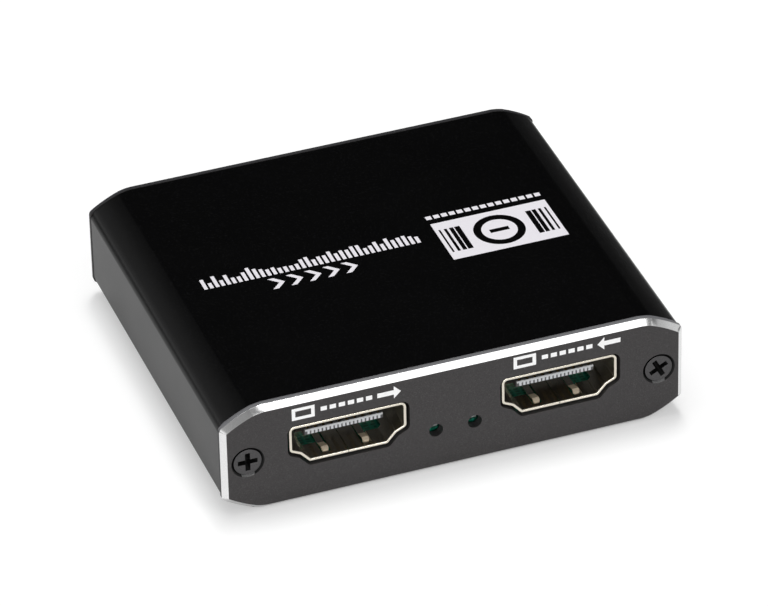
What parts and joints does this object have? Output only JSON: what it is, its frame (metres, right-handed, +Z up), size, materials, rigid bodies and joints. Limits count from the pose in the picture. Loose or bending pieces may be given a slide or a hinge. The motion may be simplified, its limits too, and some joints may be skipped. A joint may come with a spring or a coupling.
{
  "type": "video capture box",
  "caption": "Flat black metal box with eight-sided ends that takes in a video signal, passes it through and sends it on as data, with sound in and out.",
  "frame": {"origin": "middle of the underside, on the surface the box rests on", "axes": "+Z up, -Y out of the front plate with the two video sockets, +X to the right seen from the front"},
  "size_m": [0.0594, 0.052, 0.015],
  "materials": {
    "black_anodised": "bead-blasted and anodised black",
    "grey_anodised": "anodised dark grey, with a bright diamond-cut bevel round the outer face",
    "black_screw_steel": "black zinc",
    "nickel_shell": "nickel plated",
    "pale_moulding": "moulded, light grey",
    "black_moulding": "moulded, black",
    "gilt_contact": "gold flash over nickel",
    "board_green": "solder mask over glass laminate",
    "lamp_white": "moulded, white",
    "lamp_clear": "clear resin",
    "chip_moulding": "moulded epoxy, fine matt",
    "tinned_lead": "tinned",
    "ferrite": "pressed ferrite, matt",
    "capacitor_amber": "moulded epoxy",
    "ceramic_tan": "fired ceramic",
    "heat_pad_grey": "soft silicone"
  },
  "bodies": {
    "root": {"case_sleeve": "black_anodised", "front_plate": "grey_anodised", "rear_plate": "grey_anodised", "front_screws": "black_screw_steel", "rear_screws": "black_screw_steel", "circuit_board": "board_green", "video_out_shell": "nickel_shell", "video_out_insulator": "pale_moulding", "video_out_contacts": "gilt_contact", "video_in_shell": "nickel_shell", "video_in_insulator": "pale_moulding", "video_in_contacts": "gilt_contact", "status_lamp_bases": "lamp_white", "status_lamp_lenses": "lamp_clear", "data_socket_shell": "nickel_shell", "data_socket_tongue": "black_moulding", "data_socket_contacts": "gilt_contact", "microphone_jack_body": "black_moulding", "microphone_jack_springs": "gilt_contact", "headphone_jack_body": "black_moulding", "headphone_jack_springs": "gilt_contact", "capture_chip": "chip_moulding", "capture_chip_leads": "tinned_lead", "receiver_chip": "chip_moulding", "receiver_chip_leads": "tinned_lead", "repeater_chip": "chip_moulding", "sound_chip": "chip_moulding", "sound_chip_leads": "tinned_lead", "memory_chip": "chip_moulding", "memory_chip_leads": "tinned_lead", "surge_arrays": "chip_moulding", "crystals": "nickel_shell", "power_coils": "ferrite", "power_regulators": "chip_moulding", "power_regulator_leads": "tinned_lead", "bulk_capacitors": "capacitor_amber", "ceramic_capacitors": "ceramic_tan", "resistors": "chip_moulding", "heat_pad": "heat_pad_grey"}
  },
  "joints": []
}
